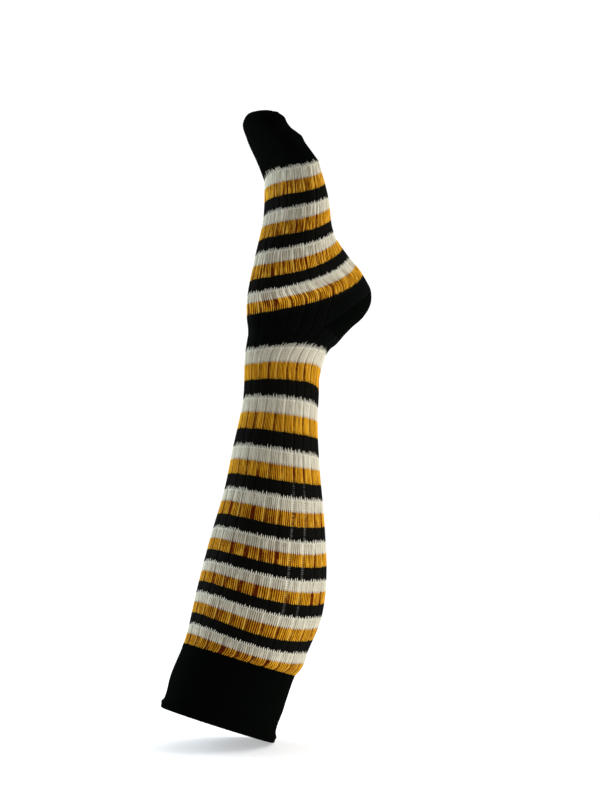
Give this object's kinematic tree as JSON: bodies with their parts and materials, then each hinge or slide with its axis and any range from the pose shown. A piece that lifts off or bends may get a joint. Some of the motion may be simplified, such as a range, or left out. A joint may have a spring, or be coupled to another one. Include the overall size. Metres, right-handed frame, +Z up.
{
  "type": "knee-high sock",
  "caption": "Knee-high ribbed sock in its worn shape, toe up and open at the cuff, with bands of black, mustard and white and a plain heel, toe and cuff.",
  "frame": {"origin": "middle of the cuff's mouth, where the sock is held by the leg that wears it", "axes": "+Z up the sock, from the cuff to the toe; -X towards the shin and instep, +X towards the calf, heel and sole; +Y towards the big toe"},
  "size_m": [0.2021, 0.1066, 0.5785],
  "materials": {
    "plain_knit": "fine plain black knit with a soft, slightly fuzzy surface",
    "striped_rib_knit": "wide-ribbed cotton knit in bands of black, mustard and white, with a dark ladder stitch between the ribs"
  },
  "bodies": {
    "root": {"cuff": "plain_knit", "leg": "striped_rib_knit", "heel": "plain_knit", "foot": "striped_rib_knit", "toe": "plain_knit"}
  },
  "joints": []
}
